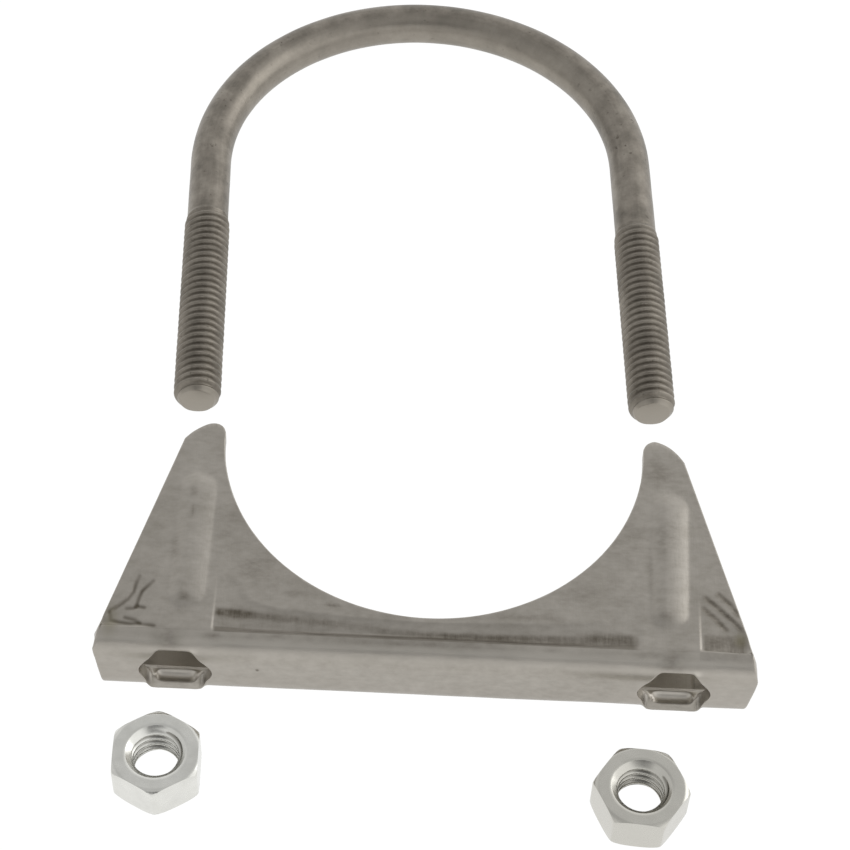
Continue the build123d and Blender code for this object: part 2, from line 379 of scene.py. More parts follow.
def u_bolt():
    """A round rod along leg, half circle and leg. Round the centre line the radius is that of the rod, or of
    a right-hand helix whose height is thread(distance / pitch - angle / full turn), run out at its inner
    end."""
    left, arc, right = BEND_Y - LEFT_TIP, math.pi * BEND, BEND_Y - RIGHT_TIP
    whole = left + arc + right
    left_end, right_end = LEFT_INNER - LEFT_TIP, RIGHT_INNER - RIGHT_TIP
    # the rows are close over each thread, to a little past its inner end
    thread_step, leg_step, bow_step, past = PITCH / 13, 1.2, 1.1, 0.4
    s = steps((0, thread_step), (left_end + past, leg_step), (left, bow_step), (left + arc, leg_step),
              (whole - right_end - past, thread_step), (whole, 1))[:, None]
    turn = np.linspace(0, 2 * math.pi, 57)[None, :-1]
    from_tip = np.minimum(s, whole - s)
    length = np.where(s < whole / 2, left_end, right_end)

    # at the thread's inner end its crest falls and its root rises to the rod, the root over a longer way
    crest_run, root_run, root_past, right_lag = 2.6, 3.2, 0.3, 0.7
    fade = smooth(0, crest_run, length - from_tip)
    crest = ROD + (MAJOR - ROD) * fade
    base = ROD - (ROD - MAJOR + THREAD_DEPTH) * smooth(0, root_run, length + root_past - from_tip)
    along = np.where(s < whole / 2, s, whole - s + right_lag)
    height = thread(np.where(s < whole / 2, 1, -1) * (along / PITCH) - turn / (2 * math.pi))
    threaded = from_tip < length + past
    radius = np.where(threaded, base + (crest - base) * height, ROD + 0 * turn)
    worn = 0.02 * waves(s, 4 * turn, 7, 3)

    # each tip is a blunt cone that isn't quite round
    tip_radius, tip_slope, tip_round = 2.85, 0.9, 0.2
    cone = tip_radius + tip_slope * from_tip + 0.08 * np.sin(2 * turn + 1) + 0.04 * np.sin(5 * turn)
    radius = soft_min(radius + worn, cone, tip_round)

    bow = np.clip((s - left) / BEND, 0, math.pi)
    down = np.clip(s - left - arc, 0, None)
    cx, cy = -BEND * np.cos(bow), LEFT_TIP + np.minimum(s, left) + BEND * np.sin(bow) - down
    nx, ny = -np.cos(bow), np.sin(bow)

    def lay_down(across, up, x=cx, y=cy, ox=nx, oy=ny):
        """Points beside and above the centre line, all tilted about the last full turn of the left thread."""
        flat_x, flat_y = x + across * ox, y + across * oy
        pivot = LEFT_INNER - PITCH
        row_y = pivot + (flat_y - pivot) * math.cos(TILT) + up * math.sin(TILT) + SHIFT_Y
        row_z = MAJOR - (flat_y - pivot) * math.sin(TILT) + up * math.cos(TILT)
        return np.stack(np.broadcast_arrays(flat_x + SHIFT_X, row_y, row_z), -1)

    def marks(radius, station, cut):
        """Painted shade over the thread, deepest at its root; the tips and the inside of the bow are rubbed
        bright.
        """
        lay = np.stack(np.broadcast_arrays(radius * np.cos(turn), radius * np.sin(turn), station), -1) / 1000
        crest_dark, crest_flat = 0.12, 0.12
        depth = np.clip((MAJOR - crest_flat - radius) / THREAD_DEPTH, 0, 1)
        dark = crest_dark + (1 - crest_dark) * depth
        dark = dark * (np.where(threaded, fade, 0) if not cut else 0)
        tip_bare, bow_bare, bow_ease = 1.7, 0.5, 30
        bare = np.maximum(cut, ease_off(0, tip_bare, np.minimum(station, whole - station)))
        on_bow = between((left, left + bow_ease), (left + arc - bow_ease, left + arc), station)
        bare = np.maximum(bare, bow_bare * smooth(0.0, 0.6, -np.cos(turn)) * on_bow)
        return {"lay": lay, "root": dark + 0 * radius, "cut": bare + 0 * radius}

    patches = [(lay_down(radius * np.cos(turn), radius * np.sin(turn)), True, marks(radius, s, 0))]
    share = np.array([1, 0.97, 0.9, 0.75, 0.5, 0.25, 0.0])[:, None]
    for end, x in ((0, -BEND), (-1, BEND)):
        rim = radius[end][None, :] * share
        bulge = 0.3 * (1 - share ** 2) + 0 * turn
        tip = (LEFT_TIP if end == 0 else RIGHT_TIP) - bulge
        cap = lay_down(rim * np.cos(turn), rim * np.sin(turn), x, tip + 0 * rim, nx[end], 0)
        patches.append((cap, True, marks(rim, s[end] + 0 * rim, 1)))
    return make_piece("u_bolt_rod", patches, "u_bolt", rod_steel(), 60)


# Saddle

# points (u, v) of the right and the left horn, from the seat to the slanted side
HORN = {
    1: [(33.35, 41.2), (33.9, 42.3), (35.1, 43.0), (36.3, 42.7), (37.5, 42.0), (38.8, 40.7), (39.9, 39.1)],
    -1: [(33.35, 41.0), (33.75, 42.0), (34.6, 42.7), (35.9, 42.75), (37.2, 42.1), (38.6, 41.0), (39.8, 39.6)],
}
# base points between which the cut edge is a horn, and the height of the slanted side's foot
HORN_START, HORN_END, FOOT_V = 34.0, 40.0, 3.0
# radius of the cut edges, and the height at which the upper grid of a flange takes over from the lower one
EDGE, MEET_V = 0.18, 14.0
# distance from the web's middle, along the middle of the sheet, to the fold and to the flange
FLAT_S = HALF_WIDTH - FOLD_OUT
FOLD_MID = FOLD_OUT - SHEET / 2
FLANGE_S = FLAT_S + FOLD_MID * math.pi / 2

# bands pressed into a flange: where each starts and ends, how soft its end is, and its upper line (u, v)
PINCHED = [
    (-32.3, 32.0, 0.9, [
        (-32.3, 13.3), (-30.3, 13.3), (-29.2, 12.2), (-28.2, 10.3), (-26.6, 8.8), (-22, 7.7), (-10, 6.8),
        (0, 6.5), (10, 6.8), (21.8, 7.3), (25.2, 7.8), (26.9, 8.4), (28.7, 10.3), (30.1, 12.2), (31.6, 12.7),
        (32.3, 12.7)]),
    (-60, -42.0, 1.2, [
        (-49.4, 5.0), (-47.7, 6.2), (-46.7, 7.4), (-45.6, 8.8), (-44.6, 11.0), (-43.6, 13.0), (-41.2, 14.0)]),
    (41.3, 60, 0.5, [(41.2, 13.2), (42.5, 13.0), (44.4, 11.6), (46.3, 9.6), (47.4, 8.2), (49.4, 5.2)]),
]
# wrinkles that the die left beside the left end, and its streaks beside the right end
CREASES_LEFT = [
    [(-44.1, 12.6), (-44.5, 11.1), (-44.7, 9.7), (-45.4, 8.4), (-46.1, 7.6), (-47.1, 6.7), (-48.0, 6.0)],
    [(-41.9, 11.8), (-42.7, 10.8), (-43.4, 9.9), (-43.7, 8.8), (-43.9, 7.8), (-44.0, 7.1)],
    [(-45.4, 6.7), (-44.4, 6.8), (-43.9, 7.2), (-42.8, 7.0)],
    [(-47.9, 5.7), (-47.6, 4.7), (-46.5, 4.4), (-44.7, 4.1), (-43.5, 4.1), (-41.0, 3.75)],
    [(-45.5, 5.2), (-44.1, 4.8), (-43.2, 4.3)],
]
STREAKS_RIGHT = [
    [(42.3, 13.2), (44.4, 11.2), (46.3, 9.2), (47.5, 7.8)],
    [(44.3, 13.9), (45.9, 12.3), (47.1, 10.3)],
    [(42.0, 11.2), (43.8, 9.4), (45.2, 7.7)],
]
# how far the sheared ends of the fold stand out, by height over the sheet's middle plane
SHEARED_LEFT = [-5, -0.4, 2.5, 4.3, 6.3], [-0.4, 0.1, 0.35, 0.65, 0]
SHEARED_RIGHT = [-5, 1.4, 3.5, 6.3], [-0.4, 0.45, 0.65, -0.1]
# ribs: middle along u, lean and height of each, then the ends of their crests along v, and their half width
RIBS = [(-36.4, 0.0, 0.32), (36.9, 0.03, 0.35)]
RIB_LOW, RIB_HIGH, RIB_HALF = 10.0, 29.8, 2.7


def outline(b, side):
    """The cut edge of a flange as (u, v): seat arc, horn and slanted side, for base points b from middle to
    end. The seat is a circle, the horn a smooth line through its points, the side a straight line."""
    horn = np.array(HORN[side])
    meet = math.sqrt(PIPE_RADIUS ** 2 - (SEAT_V - MEET_V) ** 2)
    slant = (HALF_LENGTH - horn[-1, 0]) / (horn[-1, 1] - FOOT_V)
    side_meet = HALF_LENGTH - slant * (MEET_V - FOOT_V)
    first = math.asin(meet / PIPE_RADIUS)
    last = math.pi / 2 + math.asin((horn[0, 1] - SEAT_V) / PIPE_RADIUS)
    angle = np.where(b < meet, np.arcsin(np.clip(b / PIPE_RADIUS, 0, 1)),
                     first + (last - first) * np.clip((b - meet) / (HORN_START - meet), 0, 1))
    seat_u, seat_v = PIPE_RADIUS * np.sin(angle), SEAT_V - PIPE_RADIUS * np.cos(angle)
    run = np.r_[0, np.cumsum(np.hypot(*np.diff(horn, axis=0).T))]
    at = np.clip((b - HORN_START) / (HORN_END - HORN_START), 0, 1) * run[-1]
    horn_u, horn_v = rounded(at, run, horn[:, 0]), rounded(at, run, horn[:, 1])
    share = np.clip((b - HORN_END) / (side_meet - HORN_END), 0, 1)
    line_u = np.where(b < side_meet, horn[-1, 0] + (side_meet - horn[-1, 0]) * share, b)
    line_v = FOOT_V + (HALF_LENGTH - line_u) / slant
    u = np.where(b <= HORN_START, seat_u, np.where(b <= HORN_END, horn_u, line_u))
    v = np.where(b <= HORN_START, seat_v, np.where(b <= HORN_END, horn_v, line_v))
    return u, v, meet, side_meet


def pinch(u, v):
    """Depth pressed into a flange: full at the crease by the fold, fading up to a line over the flange, with
    a sharp step and then a long slope beside each channel that the legs run in."""
    step_share, slope_share, step_half, slope_length = 0.3, 0.7, 0.25, 6
    depth, full_v, shortest = 0.45, 4.4, 0.3
    rim_depth, rim_width = 0.06, 0.5
    crease = 3.45, 3.9
    total = np.zeros(np.shape(u))
    for low, high, soft, upper_line in PINCHED:
        line = np.array(upper_line)
        top = np.interp(u, line[:, 0], line[:, 1])
        starts = (step_share * smooth(low - step_half, low + step_half, u)
                  + slope_share * smooth(low, low + slope_length, u))
        ends = (step_share * ease_off(high - soft, high + soft, u)
                + slope_share * ease_off(high - slope_length, high, u))
        fade = 1 - np.clip((v - full_v) / np.maximum(top - full_v, shortest), 0, 1)
        total = total + starts * ends * (depth * fade + rim_depth * ease_off(top - rim_width, top, v))
    return total * smooth(*crease, v)


def rib(u, v):
    """Height of the two pressed ribs: each a crowned bar with round ends, its crest left of the middle, soft
    on the left and crisp on the right where it meets the flange."""
    crest_shift, right_share, left_share = 0.8, 1.3, 0.8
    lean_from, crown_power, crisp, soft = 8, 1.85, 0.004, 0.05
    total = np.zeros(np.shape(u))
    for middle, lean, high in RIBS:
        across = u - middle - lean * (v - lean_from) + crest_shift
        across = across / np.where(across > 0, right_share, left_share)
        away = np.hypot(across, v - np.clip(v, RIB_LOW, RIB_HIGH)) / RIB_HALF
        crown = 1 - away ** crown_power
        total = total + high * (crown + np.sqrt(crown * crown + np.where(across > 0, crisp, soft)))
    return total


def lip(u, face):
    """How far the lower fold is left straight at a leg hole: 1 over the hole, 0 beyond its corners."""
    straight_half, corner_half = 2.7, 4.9
    return ease_off(straight_half, corner_half, np.abs(np.abs(u) - HOLE_U)) * (face < 0)


def hole_edge(u, face, grow):
    """Distance from the web's middle to a leg hole's edge in the flat sheet, grown by the radius of the cut:
    a six-sided opening, widest at HOLE_MID, with rounded corners, its upper edge in the bend and its lower
    edge at the lip. Its slanted sides rise as slope * root(inside * inside + blunt * inside)."""
    high, slope, corner = (4.68, 0.88, 0.25) if face > 0 else (3.21, 0.8, 0.35)
    blunt = 7
    inside = np.clip(HOLE_HALF + grow - np.abs(np.abs(u) - HOLE_U), 0, None)
    slanted = slope * np.sqrt(inside * inside + blunt * inside)
    return face * HOLE_MID + np.maximum(soft_min(high + grow + 0 * inside, slanted, corner), 0)


def lip_dish(u, v, face):
    """Depth of the shallow tray on a lip's upper side: it drops from a ridge, which is also at its ends,
    towards the cut edge."""
    ridge_v, ridge_width, end_half = 0.95, 1.7, 3.3
    tray_deep, ridge_high = 0.4, 0.8
    across = np.clip((v - ridge_v) / ridge_width, 0, 1) ** 3
    at_ends = (np.abs(np.abs(u) - HOLE_U) / end_half) ** 6
    ridge = np.clip(across + at_ends, 0, 1)
    return (tray_deep - ridge_high * ridge) * lip(u, face) * ease_off(2.7, 3.5, v)


def creases(u, v):
    """Depth of the wrinkles and streaks that the die left on the upper flange."""
    wrinkle_deep, wrinkle_wide, streak_deep, streak_wide = 0.05, 0.5, 0.07, 0.4
    total = np.zeros(np.shape(u))
    for points in CREASES_LEFT:
        total = total + wrinkle_deep * stroke(u, v, points, wrinkle_wide)
    for points in STREAKS_RIGHT:
        total = total + streak_deep * stroke(u, v, points, streak_wide)
    return total


def sheet_point(u, s, n, face):
    """Places of points of the folded sheet, and the same as its own (u, v, w). s runs from the middle of the
    web round the fold up the flange, n is the height over the sheet's middle, and face is 1 for the upper
    flange or -1 for the lower one. The fold is a quarter circle, and straight over a lip."""
    bend = np.clip((s - FLAT_S) / FOLD_MID, 0, math.pi / 2)
    v = np.where(s <= FLANGE_S, FOLD_OUT - FOLD_MID * np.cos(bend), FOLD_OUT + s - FLANGE_S)
    w = np.where(s <= FLAT_S, s, FLAT_S + FOLD_MID * np.sin(bend))
    straight = lip(u, face) * (s < FLANGE_S)
    v = v + straight * (FOLD_OUT + s - FLANGE_S - v)
    w = w + straight * (HALF_WIDTH - SHEET / 2 - w)
    nv, nw = -np.cos(bend) * (1 - straight), np.sin(bend) * (1 - straight) + straight
    size = np.hypot(nv, nw)
    nv, nw = nv / size, nw / size

    # the press's forms, which start at the end of the fold, and the sheet's slight unevenness
    here = v + n * nv
    shape = rib(u, here) - pinch(u, here)
    if face > 0:
        shape = shape - creases(u, here)
    uneven = 0.05 * waves(u, face * s, 21, 5) * smooth(0.7, 3, s) + 0.03 * waves(u, face * s, 9, 8)
    v = v + (n + uneven) * nv
    w = w + (n + uneven) * nw + shape * smooth(2.5, 3.2, here) + lip_dish(u, here, face) * (n < 0)
    height = face * w

    # the fold's ends are sheared unevenly
    end = np.where(u < 0, np.interp(height, *SHEARED_LEFT), np.interp(height, *SHEARED_RIGHT))
    u = u + np.sign(u) * end * smooth(44.5, HALF_LENGTH, np.abs(u)) * ease_off(3.5, 6.0, v)
    # the lower horns lean out a little
    lean_out = 0.75 * smooth(32, 42, v) * (face < 0)
    u = u + np.sign(u) * lean_out

    x = SADDLE_X + u * math.cos(YAW) + v * math.sin(YAW)
    y = SADDLE_Y - u * math.sin(YAW) + v * math.cos(YAW)
    return np.stack([x, y, SADDLE_Z + height], -1), np.stack([u, v, height], -1)


# Wear and dirt on the saddle

# dirt on the flanges: middle (u, v), half width and height, strength; the long ones at (-39.2, 17.5) and
# (33.9, 17) are painted shade along the ribs' left edges
SMUDGES = [
    (-26, 15, 7, 6, 0.30), (-31, 22, 4, 7, 0.15), (36, 36.5, 4, 4.5, 0.4), (31, 24, 5, 8, 0.22),
    (-36.9, 9.0, 1.4, 1.2, 0.6), (-37.1, 25.0, 0.5, 1.6, 0.6), (-37.2, 28.5, 1.0, 1.4, 0.45),
    (36.2, 23, 2.2, 5, 0.3), (36.2, 9.2, 1.6, 1.4, 0.35), (-14.5, 8.9, 2.0, 0.6, 0.6), (24, 13, 5, 3, 0.2),
    (-29, 6.6, 4.0, 1.7, 0.6), (14, 8.1, 9, 1.1, 0.35), (27, 5.6, 5.5, 1.3, 0.4), (-20, 10.5, 3, 1.0, 0.25),
    (29, 11.5, 2.5, 1.2, 0.2), (-39.2, 17.5, 1.2, 5.0, 0.25), (33.9, 17, 0.7, 9.0, 0.18),
]
# the scuffed streak from the left leg's channel down to the crease: its height, strength and width by u
STREAK_V = [-32, -28, -16, -10, -5, 0, 20, 32], [6.9, 6.7, 5.8, 5.3, 4.7, 4.35, 4.6, 4.9]
STREAK_DARK = [-32, -28, -22, -10, -5, 3, 12, 20, 32], [0.95, 0.8, 0.45, 0.35, 0.55, 1, 1, 0.85, 0.8]
STREAK_WIDE = [12, 30], [1.0, 1.6]
# where the die's edge left a crease beside the fold, drawn with a painted line of shade
CREASE_V = 3.7
# painted highlight on the fold, by its height v
FOLD_BRIGHT = ([0.3, 0.45, 0.75, 0.95, 1.15, 1.3, 1.5, 1.7, 1.85, 2.0, 2.3],
               [0.05, 0.2, 0.25, 0.13, 0.17, 0.55, 1, 1, 0.7, 0.45, 0])


def inner_band(u):
    """1 over the pressed band between the two leg channels, 0 outside it."""
    return between((-32.3, -31.7), (31.0, 32.4), u)


def flange_dirt_and_shade(u, v, w):
    """Dark film on a flange: the scuffed streak, a thin film about it, the die's streaks and a scuffed corner
    at the right end, and single smudges, two of them painted shade along the ribs' left edges. The lower
    flange has a third of it."""
    mottle = waves(u, v, 5, 21) * 0.5 + 0.5
    away = np.abs(v - np.interp(u, *STREAK_V)) / np.interp(u, *STREAK_WIDE)
    band = ease_off(0.15, 1.0, away) * inner_band(u) * np.interp(u, *STREAK_DARK)
    dirt = band * (0.65 + 0.35 * mottle)
    film = 0.22 - 0.2 * smooth(-18, -8, u)
    dirt = dirt + film * inner_band(u) * between((CREASE_V, 4.0), (6.0, 8.2), v)
    for points in STREAKS_RIGHT:
        dirt = dirt + 0.8 * stroke(u, v, points, 0.8)
    corner = between((41.5, 42.0), (47.6, 48.6), u) * between((3.5, 3.9), (5.9, 7.2), v)
    dirt = dirt + 0.7 * corner
    for cu, cv, ru, rv, dark in SMUDGES:
        dirt = dirt + dark * spot(u, v, cu, cv, ru, rv)
    lower_share = 0.35
    return np.where(w > 0, dirt, lower_share * dirt) * smooth(2.9, 3.6, v)


def fold_dirt_and_shade(u, v, w, hole):
    """Painted shade and soil on the fold and the web: painted shade in a patch over each hole, a broken strip
    of soil just below the crease with a patch at each end, and a thin film on the web between the holes."""
    # painted shade over the hole
    over_hole = 0.45 * spot(u, w, hole - 0.9, 5.7, 3.4, 1.4) * (v < 3.4)
    strip_v = 2.8 + 0.35 * waves(u, 0 * u, 14, 51)
    broken = 0.25 + 0.75 * smooth(0, 0.6, waves(u, 2.2 * v, 4.2, 52))
    broken = broken * (0.2 + 0.25 * ease_off(9, 26, np.abs(u + 3)))
    strip = ease_off(0.2, 1.0, np.abs(v - strip_v)) * broken * inner_band(u)
    ends = 0.5 * spot(u, v, -32.3, 2.5, 2.4, 0.9) + 0.3 * spot(u, v, 33, 2.6, 4, 1.0)
    web = (0.08 + 0.03 * smooth(0, 8, u)) * ease_off(27, 31, np.abs(u)) * ease_off(0.3, 1.0, v)
    return over_hole + (strip + ends) * (w > 0) + web


def inside_shade(u, v, w, hole):
    """Painted shade inside the sheet: the lip's tray darkens towards its front edge, and the lower flange's
    inside is a little darker further back.
    """
    tray = 0.42 * ease_off(0.9, 1.7, v) * (np.abs(u - hole) < 3.2) * (w < -3.5)
    return tray + 0.2 * smooth(2.45, 2.7, v) * (w < 0)


def dark_lines(u, v, w, front):
    """Painted shade along the die's crease beside the fold and the wrinkles that it left, and a pit in the
    web, as dark lines.
    """
    crease = ease_off(0.3, 0.55, np.abs(v - CREASE_V)) * inner_band(u)
    line = crease * (0.72 + 0.25 * waves(u, v, 9, 33))
    for points in CREASES_LEFT:
        line = line + 0.9 * stroke(u, v, points, 0.55) * (0.8 + 0.5 * waves(u, v, 3, 41))
    pit = 1.3 * spot(u, w, -25.3, 1.2, 0.4, 0.4) * front
    return (line + pit) * (w > 0)


def bright_wear_and_highlight(u, v, w, hole, front):
    """Bright marks on the outside, mostly painted highlight with a little rubbed metal: a little over the
    web, most along the fold, a soft strip below the crease towards its ends, and a painted glint beside each
    hole."""
    folded = np.interp(v, *FOLD_BRIGHT) * (w > 0)
    below_crease = 0.3 * ease_off(0.4, 0.8, np.abs(v - 2.7)) * smooth(8, 16, np.abs(u + 2))
    below_crease = below_crease * (u < 41) * (w > 0)
    # a painted glint by the hole's upper corner
    glint = 0.6 * spot(u, w, hole + 2.9, 4.6, 1.2, 0.7) * (v < 2)
    return front * 0.15 + folded + below_crease + glint


def sheet_marks(u, v, w, surface):
    """Where the dark film of dirt and painted shade, the rubbed metal and painted highlight, the olive stain,
    the die's scratches and its dark lines of painted shade lie on the sheet's outside, its inside or its cut
    edge, each from 0 to 1."""
    hole = np.where(u < 0, -HOLE_U, HOLE_U)
    front = ease_off(0.4, 3.2, v)
    none = 0 * u
    if surface == "outside":
        # dirt on the flanges and fold, with painted shade over the holes and along the ribs' left edges
        dirt_and_shade = flange_dirt_and_shade(u, v, w) + fold_dirt_and_shade(u, v, w, hole)
        wear_and_highlight = bright_wear_and_highlight(u, v, w, hole, front)
        line = dark_lines(u, v, w, front)
    elif surface == "inside":
        # inside: painted shade in the tray and further back, over painted light at the full bright tone
        dirt_and_shade, wear_and_highlight, line = inside_shade(u, v, w, hole), 1 + none, none
    else:
        lip_edge = 0.3 * (np.abs(u - hole) < 4.6) * (w < -3.5)
        dirt_and_shade, wear_and_highlight, line = lip_edge + none, 0.3 + none, none
    stain_left, stain_right = 0.4 * spot(u, v, -47.6, 4.2, 1.8, 4.0), 0.5 * spot(u, v, 47.4, 6.0, 1.6, 2.0)
    olive = (stain_left + stain_right) * (w > 0)
    scored = between((3.4, 3.8), (7.0, 8.6), v)
    found = {"dirt_and_shade": dirt_and_shade, "wear_and_highlight": wear_and_highlight, "olive": olive, "scored": scored, "line": line}
    return {mark: np.clip(values, 0, 1) for mark, values in found.items()}


def columns(near, far):
    """Places along half the saddle for the grids' columns: close at the pit, at the steps of the pressed
    bands and at a hole's two points, near and far, and nowhere closer than a hair."""
    fine, hair = 0.12, 0.012
    at_point = np.array([0, 0.015, 0.06, 0.14, 0.25, 0.4])
    even = steps((0, 0.7), (24.8, fine), (25.8, 0.6), (31.7, fine), (33.2, 0.3), (40.9, fine), (42, 0.16),
                 (HALF_LENGTH, 1))
    half = np.unique(np.round(np.concatenate([even, near + at_point, far - at_point]), 4))
    half = half[np.r_[True, np.diff(half) > hair]]
    apart = (np.abs(half - near) > hair) & (np.abs(half - far) > hair)
    return np.unique(np.r_[half[apart], near, far])


def saddle():
    """The folded sheet as four grids over each half of its length and width, with rounded cut edges between
    the outside and the inside. The rows run from the web's middle, or a hole's edge, over the fold to the
    flange."""
    near, far = HOLE_U - HOLE_HALF - EDGE, HOLE_U + HOLE_HALF + EDGE
    half = columns(near, far)
    # rows up to the knee follow the fold, and it drops where the flange is low
    knee_level, low_flange = 6.6, 7.3
    fold = steps((0, 0.24), (2.4, 0.32), (5.95, 0.11), (knee_level, 1))
    # v of a flange point is its s less this
    lead = FLANGE_S - FOLD_OUT
    flange_top = FLANGE_S + MEET_V - FOLD_OUT
    # profile of a rounded cut edge: how far it stands out, and its height over the sheet's middle
    turns = np.radians([0, 30, 60, 90])
    lift = np.r_[np.sin(turns), np.sin(turns)[::-1]][:, None] * EDGE
    sink = SHEET / 2 - EDGE * (1 - np.cos(turns))
    sink = np.r_[sink, -sink[::-1]][:, None]
    patches = []

    def lay_patch(u, s, n, face, surface):
        """Adds one grid of the sheet with its marks."""
        points, own = sheet_point(u, s, n + 0 * u, face)
        marks = sheet_marks(u, own[..., 1], own[..., 2], surface)
        patches.append((points, False, {"lay": own / 1000, **marks}))

    for side in (-1, 1):
        edge_u, edge_v, meet, side_meet = outline(half, side)
        along = np.stack([np.gradient(edge_u, half), np.gradient(edge_v, half)])
        along = along / np.hypot(*along)
        away = np.stack([-along[1], along[0]])
        away[:, 0] = 0, 1
        inner_u, inner_v = edge_u - EDGE * away[0], edge_v - EDGE * away[1]
        inner_u[0] = 0
        base = half * inner_u[-1] / HALF_LENGTH
        high = (half > meet) & (half < side_meet)
        top_u = np.where(high, base, inner_u)
        top_s = lead + np.where(high, MEET_V, inner_v)
        knee = knee_level * np.minimum(1, top_s / low_flange)
        first, last = np.flatnonzero(high)[[0, -1]]
        part = slice(first - 1, last + 2)
        holed = (half >= near) & (half <= far)
        for face in (1, -1):
            # the upper flange shows, so it has more rows
            lower_rows, upper_rows = (42, 40) if face > 0 else (12, 16)
            level = np.concatenate([fold[:-1], np.linspace(knee_level, flange_top, lower_rows)])[:, None]
            hole = np.where(holed, hole_edge(half, face, EDGE), face * HOLE_MID)
            below = hole + level * (knee - hole) / knee_level
            above = knee + (level - knee_level) * (top_s - knee) / (flange_top - knee_level)
            lower_u = base + (top_u - base) * level / flange_top
            lower_s = np.where(level <= knee_level, below, above)
            t = np.linspace(0, 1, upper_rows)[:, None] ** 0.95
            upper_u = top_u[part] + (inner_u[part] - top_u[part]) * t
            upper_s = top_s[part] + (inner_v[part] + lead - top_s[part]) * t
            for n, surface in ((SHEET / 2, "outside"), (-SHEET / 2, "inside")):
                lay_patch(side * lower_u, lower_s, n, face, surface)
                lay_patch(side * upper_u, upper_s, n, face, surface)
            # cut edges: over the seat, horn and side, down the end, and round the hole
            lay_patch(side * (inner_u + lift * away[0]), inner_v + lift * away[1] + lead, sink, face, "edge")
            end_away = np.stack([np.ones(len(level)), np.zeros(len(level))])
            end_away[:, -1] = away[:, -1]
            end_u, end_s = lower_u[:, -1] + lift * end_away[0], lower_s[:, -1] + lift * end_away[1]
            lay_patch(side * end_u, end_s, sink, face, "edge")
            hole_u, hole_s = base[holed], hole[holed]
            slope = np.gradient(hole_s, hole_u)
            into = np.stack([slope, -np.ones_like(slope)]) / np.hypot(slope, 1)
            into[:, 0], into[:, -1] = (1, 0), (-1, 0)
            lay_patch(side * (hole_u + lift * into[0]), hole_s + lift * into[1], sink, face, "edge")
    return make_piece("saddle_sheet", patches, "saddle", sheet_steel(), 55)


# Nuts

def nut(name, zinc, dull):
    """A hexagon nut: round the axis its radius is flat / cos(angle from the flat's middle), its corners drop
    by the square of their distance from a circle, and its bore is a right-hand helix between two
    countersinks."""
    x, y, turned = NUTS[name]
    t = np.linspace(-1, 1, 25)[:-1]
    flat = np.radians(30) * np.sin(t * math.pi / 2)
    angle = (np.arange(6)[:, None] * math.pi / 3 + flat[None, :]).ravel()[None, :]
    bend = np.tile(flat, 6)[None, :]
    corner_radius, corner_soft = 7.27, 0.05
    hexagon = soft_min(FLATS / 2 / np.cos(bend), corner_radius + 0 * bend, corner_soft)
    # the faces are level from the countersink's rim out to this circle
    rim = FLATS / 2 - 0.12
    drop = 0.6 * (hexagon - rim) ** 2
    sink_rim, sink_slope, sink_ease = 4.5, 1.25, 0.12
    thread_high, bore_soft = 0.6, 0.07
    core = MAJOR - thread_high
    level_shares, corner_shares = np.linspace(0, 1, 5), (0.05, 0.3, 0.55, 0.78, 0.96)
    side_shares, gap = (0.02, 0.25, 0.5, 0.75, 0.98), 0.03
    rows = []

    def row(radius, z, valley_shade=0):
        """Adds one ring of points with its mark of painted shade."""
        rows.append(np.broadcast_arrays(radius + 0 * angle, z + 0 * angle, valley_shade + 0 * angle))

    for share in level_shares:
        row(sink_rim + (rim - sink_rim) * share, NUT_HEIGHT)
    for share in corner_shares:
        row(rim + (hexagon - rim) * share, NUT_HEIGHT - drop * share ** 2)
    for share in side_shares:
        row(hexagon, NUT_HEIGHT - drop - gap - (NUT_HEIGHT - 2 * drop - 2 * gap) * share)
    for share in corner_shares[::-1]:
        row(rim + (hexagon - rim) * share, drop * share ** 2)
    for share in level_shares[::-1]:
        row(sink_rim + (rim - sink_rim) * share, 0)
    for z in np.arange(0.04, NUT_HEIGHT - 0.03, PITCH / 22):
        valley = 0.5 - 0.5 * np.cos(2 * math.pi * (z / PITCH - angle / (2 * math.pi)))
        helix = core + thread_high * valley
        edge = min(z, NUT_HEIGHT - z)
        cone = sink_rim - sink_slope * edge + sink_ease * edge * edge
        # painted shade in the valleys of the bore's thread
        valley_shade = 0.8 * smooth(0.2, 0.8, valley) * (helix > cone)
        row(-soft_min(-helix, -cone, bore_soft), z, valley_shade)
    rows.append(rows[0])
    radius, z, valley_shade = [np.stack([ring[k] for ring in rows]).reshape(len(rows), -1) for k in range(3)]
    around = angle + math.radians(turned + 30)
    points = np.stack([x + SHIFT_X + radius * np.cos(around), y + SHIFT_Y + radius * np.sin(around), z], -1)
    marks = {"dull": dull + 0 * z, "root": valley_shade}
    return make_piece(name + "_nut_plated", [(points, True, marks)], name + "_nut", zinc, 42)


# Stage, light and camera

